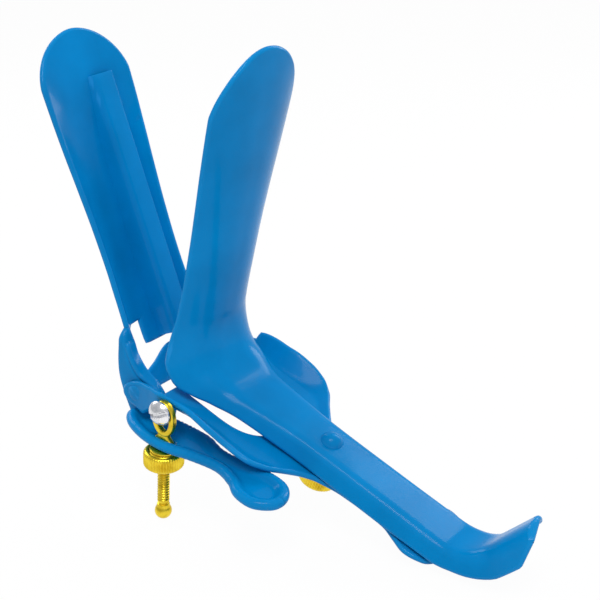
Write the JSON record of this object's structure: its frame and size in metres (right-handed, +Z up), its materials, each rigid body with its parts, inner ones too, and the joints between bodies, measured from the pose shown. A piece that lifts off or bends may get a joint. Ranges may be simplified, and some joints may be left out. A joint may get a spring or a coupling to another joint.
{
  "type": "bivalve speculum",
  "caption": "Hinged two-blade vaginal speculum with a hooked handle, a forked sliding yoke, a thumb lever on an eye screw and a smoke channel on the upper blade.",
  "frame": {"origin": "centre of the bounding box at the floor, with the yoke's end and the side screw's ball end on the floor", "axes": "+X across the instrument, away from the side screw; +Y from the hook toward the blades' opening side; +Z up"},
  "size_m": [0.0565, 0.1496, 0.1328],
  "materials": {
    "lower_blade_handle": "gloss",
    "upper_blade": "gloss",
    "smoke_channel": "gloss",
    "yoke": "gloss",
    "hinge_rivet_left": "gloss",
    "hinge_rivet_right": "gloss",
    "thumb_lever": "gloss",
    "lever_rivet_front": "gloss",
    "lever_rivet_back": "gloss",
    "pivot_screw": "polished",
    "side_screw": "satin",
    "side_washer": "satin",
    "side_nut": "satin",
    "handle_screw": "gloss",
    "handle_washer": "satin",
    "handle_nut": "satin"
  },
  "bodies": {
    "base": {"lower_blade_handle": "lower_blade_handle", "handle_screw": "handle_screw"},
    "slider": {"yoke": "yoke", "hinge_rivet_left": "hinge_rivet_left", "hinge_rivet_right": "hinge_rivet_right", "pivot_screw": "pivot_screw"},
    "upper": {"upper_blade": "upper_blade", "smoke_channel": "smoke_channel", "thumb_lever": "thumb_lever", "lever_rivet_front": "lever_rivet_front", "lever_rivet_back": "lever_rivet_back"},
    "side_rod": {"side_screw": "side_screw"},
    "side_stop": {"side_washer": "side_washer"},
    "side_knob": {"side_nut": "side_nut"},
    "handle_stop": {"handle_washer": "handle_washer"},
    "handle_knob": {"handle_nut": "handle_nut"}
  },
  "joints": [
    {"name": "yoke_slide", "type": "slide", "parent": "base", "child": "slider", "axis": [0, 0.9164, 0.4003], "range_m": [-0.003, 0.02]},
    {"name": "blade_hinge", "type": "hinge", "parent": "slider", "child": "upper", "pos_m": [0.00502, 0.04243, 0.03458], "axis": [1, 0, 0], "range_deg": [0, 36]},
    {"name": "side_screw_swing", "type": "hinge", "parent": "slider", "child": "side_rod", "pos_m": [-0.01958, 0.02665, 0.03534], "axis": [1, 0, 0], "range_deg": [0, 22.1]},
    {"name": "side_nut_travel", "type": "slide", "parent": "side_rod", "child": "side_stop", "axis": [0, 0.1357, -0.9907], "range_m": [0, 0.0107]},
    {"name": "side_nut_turn", "type": "hinge", "parent": "side_stop", "child": "side_knob", "pos_m": [-0.01958, 0.02868, 0.02048], "axis": [0, 0.1357, -0.9907], "range_deg": [0, 3852]},
    {"name": "handle_nut_travel", "type": "slide", "parent": "base", "child": "handle_stop", "axis": [0, 0.4003, -0.9164], "range_m": [0, 0.002]},
    {"name": "handle_nut_turn", "type": "hinge", "parent": "handle_stop", "child": "handle_knob", "pos_m": [0.00502, -0.01183, 0.0251], "axis": [0, 0.4003, -0.9164], "range_deg": [0, 720]}
  ],
  "couplings": [
    {"joint": "side_screw_swing", "follows": "blade_hinge", "ratio": 0.61389},
    {"joint": "side_nut_travel", "follows": "blade_hinge", "m_per_rad": 0.01703},
    {"joint": "side_nut_turn", "follows": "blade_hinge", "ratio": 107},
    {"joint": "handle_nut_turn", "follows": "handle_nut_travel", "rad_per_m": 6283.2}
  ]
}
